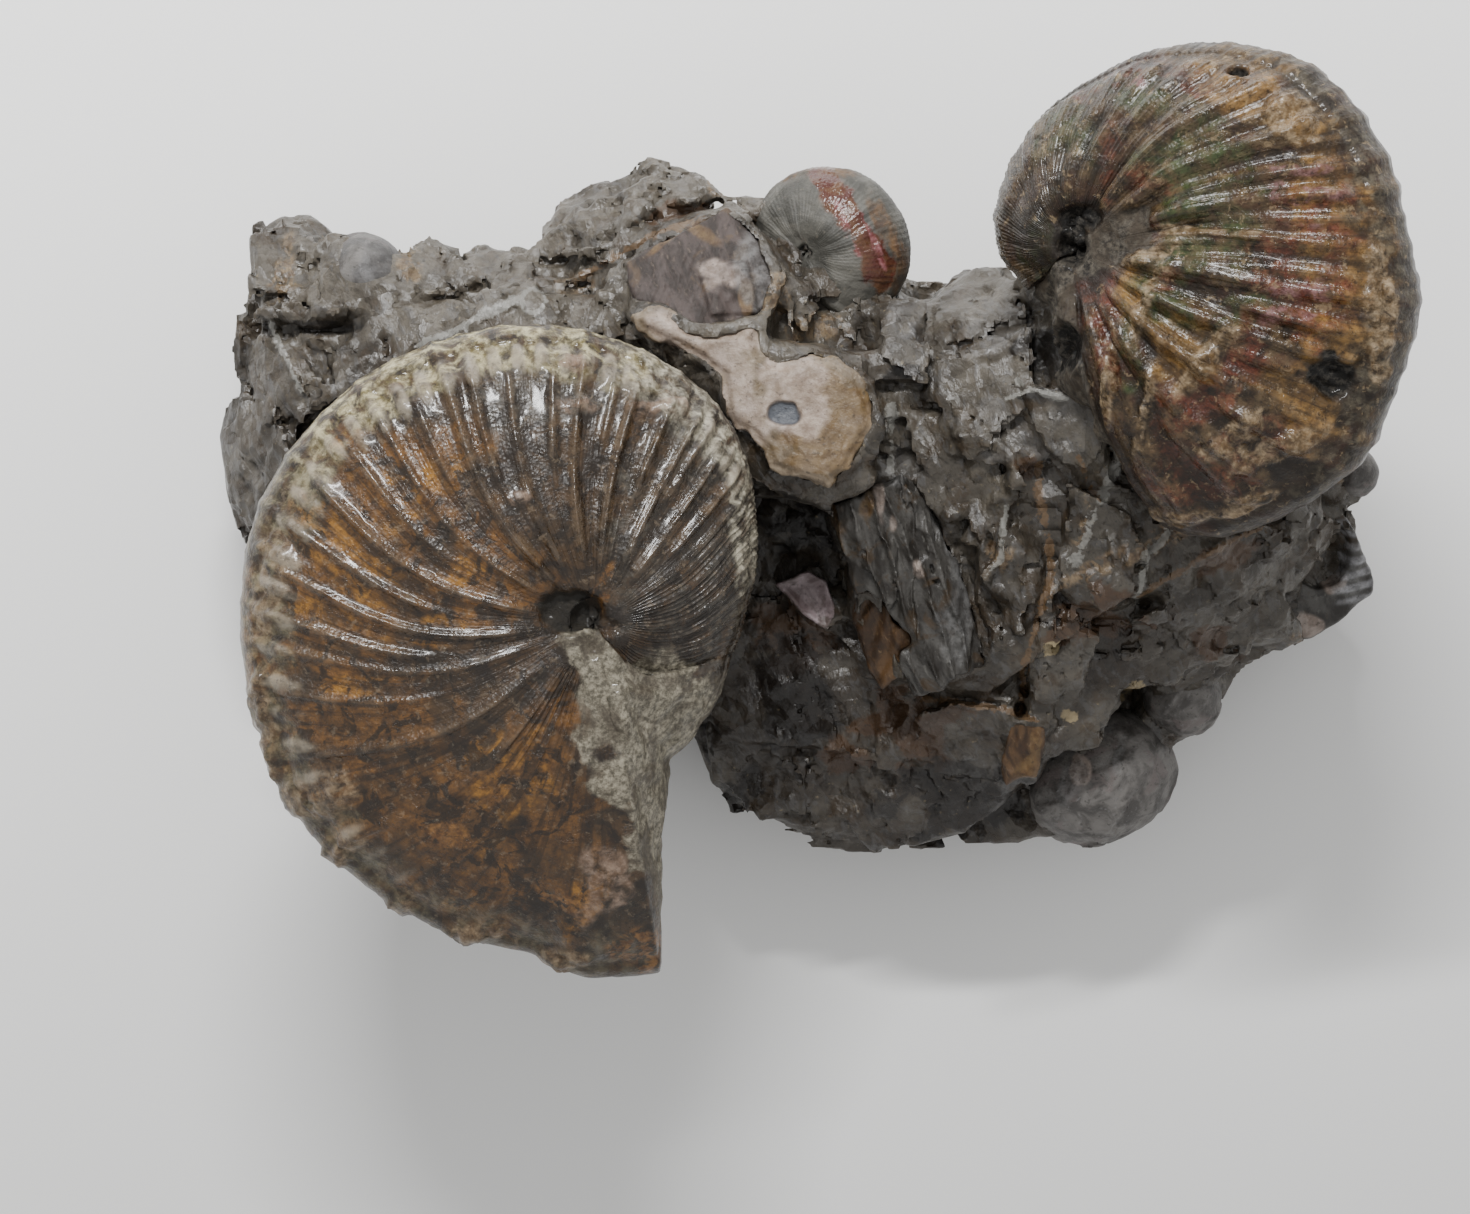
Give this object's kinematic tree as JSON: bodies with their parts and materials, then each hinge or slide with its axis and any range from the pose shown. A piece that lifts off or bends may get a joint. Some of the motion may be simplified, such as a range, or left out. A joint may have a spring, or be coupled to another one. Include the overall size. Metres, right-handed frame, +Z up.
{
  "type": "heteromorph ammonite",
  "caption": "Block of dark rock holding two complete scaphite ammonites, a third partly buried and bits of clam shell; it lies on its flat back.",
  "frame": {"origin": "on the flat broken back that the block lies on, under the middle of the block", "axes": "+X along the block from the large ammonite towards the upper one; +Y across it, towards the peak of the rock; +Z up, away from the flat back"},
  "size_m": [0.0854, 0.0662, 0.0456],
  "materials": {
    "matrix_rock": "rough dark grey shale, broken faces",
    "amber_shell": "glossy amber and dark brown shell",
    "green_gold_shell": "satin brown-gold shell with red and green nacre",
    "red_nacre_shell": "grey coated whorl with a red nacre band",
    "cream_shell": "smooth pinkish cream shell, worn edge",
    "purple_brown_shell": "fine striae, brown and grey",
    "blue_grey_shell": "blue-grey ribbed mould",
    "brown_shell": "fibrous golden brown shell",
    "pink_shell": "pearly pinkish chip",
    "smooth_mould": "smooth dark grey mould"
  },
  "bodies": {
    "root": {"matrix_rock": "matrix_rock", "large_scaphite": "amber_shell", "upper_scaphite": "green_gold_shell", "top_scaphite": "red_nacre_shell", "cream_clam_shell": "cream_shell", "striated_shell": "purple_brown_shell", "ribbed_shell_fragment": "blue_grey_shell", "brown_shell_strip": "brown_shell", "pink_shell_chip": "pink_shell", "amber_shell_chip": "brown_shell", "smooth_clam_mould": "smooth_mould", "dark_clam_mould": "smooth_mould", "small_clam_mould": "smooth_mould", "round_shell_stub": "smooth_mould", "broken_whorl": "blue_grey_shell"}
  },
  "joints": []
}
